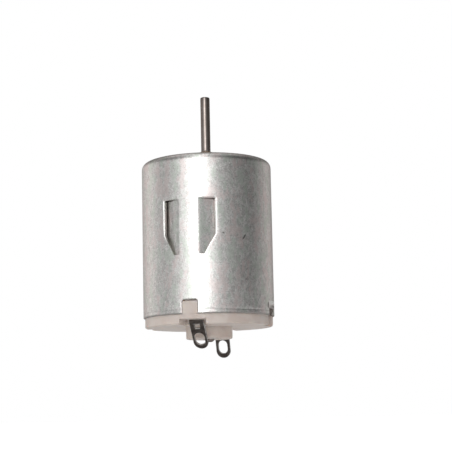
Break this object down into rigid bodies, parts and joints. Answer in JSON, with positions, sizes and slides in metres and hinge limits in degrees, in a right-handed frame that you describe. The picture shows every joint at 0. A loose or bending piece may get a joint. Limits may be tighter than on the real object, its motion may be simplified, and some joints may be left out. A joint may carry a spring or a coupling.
{
  "type": "brushed dc motor",
  "caption": "Small round brushed DC motor: drawn steel can with lanced magnet stops, plain output shaft, nylon end cap and slotted solder tags.",
  "frame": {"origin": "centre of the can's front mounting face, at the foot of the front boss", "axes": "+Z along the output shaft and out of the front face; -Y towards the lanced stops, one cap key and the front solder tag; the face holes lie along X"},
  "size_m": [0.0276, 0.0276, 0.0559],
  "materials": {
    "can_steel": "satin nickel-plated steel, finely mottled",
    "bearing_bronze": "oil-filled sintered bronze, matt",
    "ferrite": "ground hard ferrite, dark grey",
    "spring_steel": "drawn spring wire",
    "nylon": "ivory moulded nylon, slightly translucent",
    "tinned_tag": "tin-plated brass strip, reflective",
    "arm_bronze": "rolled spring bronze",
    "carbon": "pressed carbon, matt black",
    "shaft_steel": "ground steel, slightly dark",
    "core_steel": "stacked silicon-steel sheets",
    "resin_coat": "insulating moulding, green",
    "magnet_wire": "enamelled copper wire",
    "phenolic": "moulded phenolic, dark brown",
    "commutator_copper": "turned copper",
    "white_plastic": "moulded acetal, white",
    "washer_fibre": "thin oil-resistant washers"
  },
  "bodies": {
    "stator": {"can": "can_steel", "front_bearing": "bearing_bronze", "magnet_left": "ferrite", "magnet_right": "ferrite", "magnet_spring": "spring_steel", "end_cap": "nylon", "rear_bearing": "bearing_bronze", "front_tag": "tinned_tag", "rear_tag": "tinned_tag", "front_brush_arm": "arm_bronze", "rear_brush_arm": "arm_bronze", "front_carbon_brush": "carbon", "rear_carbon_brush": "carbon"},
    "rotor": {"shaft": "shaft_steel", "lamination_stack": "core_steel", "front_insulator": "resin_coat", "rear_insulator": "resin_coat", "winding_1": "magnet_wire", "winding_2": "magnet_wire", "winding_3": "magnet_wire", "commutator_barrel": "phenolic", "commutator_segment_1": "commutator_copper", "commutator_segment_2": "commutator_copper", "commutator_segment_3": "commutator_copper", "commutator_ring": "phenolic", "front_spacer": "white_plastic", "front_washers": "washer_fibre", "rear_washers": "washer_fibre"}
  },
  "joints": [
    {"name": "rotor_spin", "type": "hinge", "parent": "stator", "child": "rotor", "pos_m": [0, 0, 0], "axis": [0, 0, 1], "continuous": true}
  ]
}
